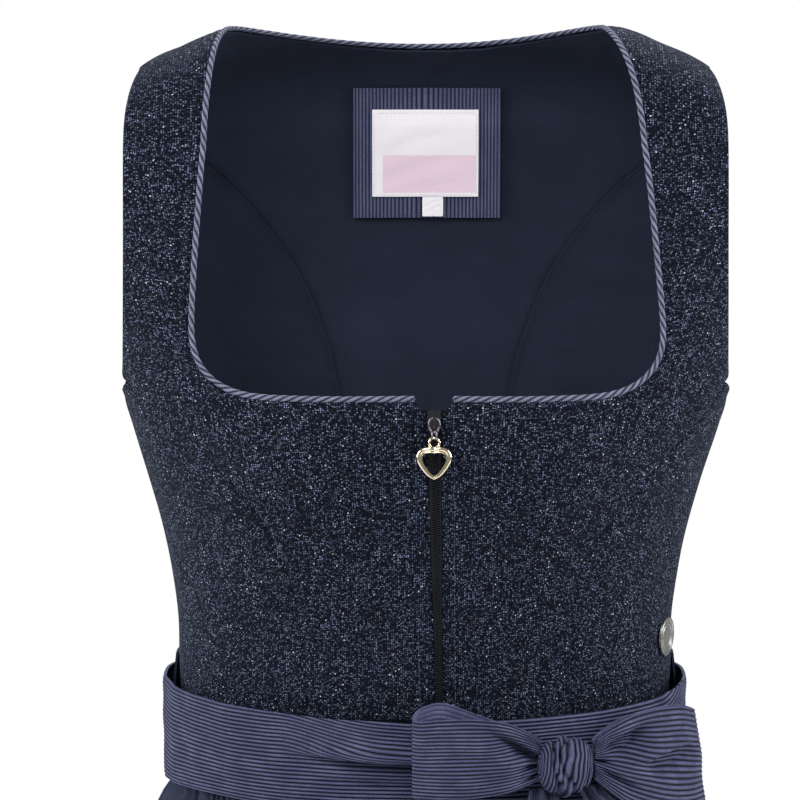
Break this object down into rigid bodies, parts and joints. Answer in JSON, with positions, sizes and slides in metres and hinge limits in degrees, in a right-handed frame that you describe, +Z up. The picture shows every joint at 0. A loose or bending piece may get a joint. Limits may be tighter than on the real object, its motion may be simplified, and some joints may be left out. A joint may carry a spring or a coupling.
{
  "type": "dirndl dress with apron",
  "caption": "Sleeveless navy dirndl with a square-necked zipped bodice, gathered skirt and a gathered apron whose corded band ties in a bow; hollow, as worn.",
  "frame": {"origin": "between the two shoulder seams, level with their tops, where a wearer's shoulders hold the garment up", "axes": "+Z up, -Y the garment's front, +X the wearer's left"},
  "size_m": [0.5436, 0.4471, 1.0313],
  "materials": {
    "glitter": "navy woven cloth with metallic sparkle",
    "lining": "plain navy cotton",
    "piping": "violet-grey twisted cord piping",
    "ribbed": "corded silk, blue-violet ribs",
    "label": "plain white woven tape",
    "silver": "dull silver",
    "zip": "black tape with coil teeth",
    "black_metal": "glossy black",
    "gold": "polished pale gold",
    "skirt": "smooth blue-grey cloth"
  },
  "bodies": {
    "garment": {"front_center_right": "glitter", "front_center_left": "glitter", "front_side_right": "glitter", "front_side_left": "glitter", "back_center": "glitter", "back_side_right": "glitter", "back_side_left": "glitter", "lining_back_center": "lining", "lining_back_side_right": "lining", "lining_back_side_left": "lining", "piping_front_right": "piping", "piping_front_left": "piping", "piping_back": "piping", "label_patch": "ribbed", "apron_band": "ribbed", "bow_knot": "ribbed", "bow_loop_right": "ribbed", "bow_loop_left": "ribbed", "bow_tail_right": "ribbed", "bow_tail_left": "ribbed", "label": "label", "size_tab": "label", "badge": "silver", "zip": "zip", "zip_slider": "black_metal", "skirt_front": "skirt", "skirt_back": "skirt", "apron": "skirt"},
    "link": {"pull_link": "black_metal"},
    "heart": {"heart_pull": "gold"}
  },
  "joints": [
    {"name": "link_hinge", "type": "hinge", "parent": "garment", "child": "link", "pos_m": [0.004, -0.1062, -0.1872], "axis": [-1, 0, 0], "range_deg": [0, 120]},
    {"name": "heart_hinge", "type": "hinge", "parent": "link", "child": "heart", "pos_m": [0.004, -0.1062, -0.1969], "axis": [-1, 0, 0], "range_deg": [0, 100]}
  ]
}
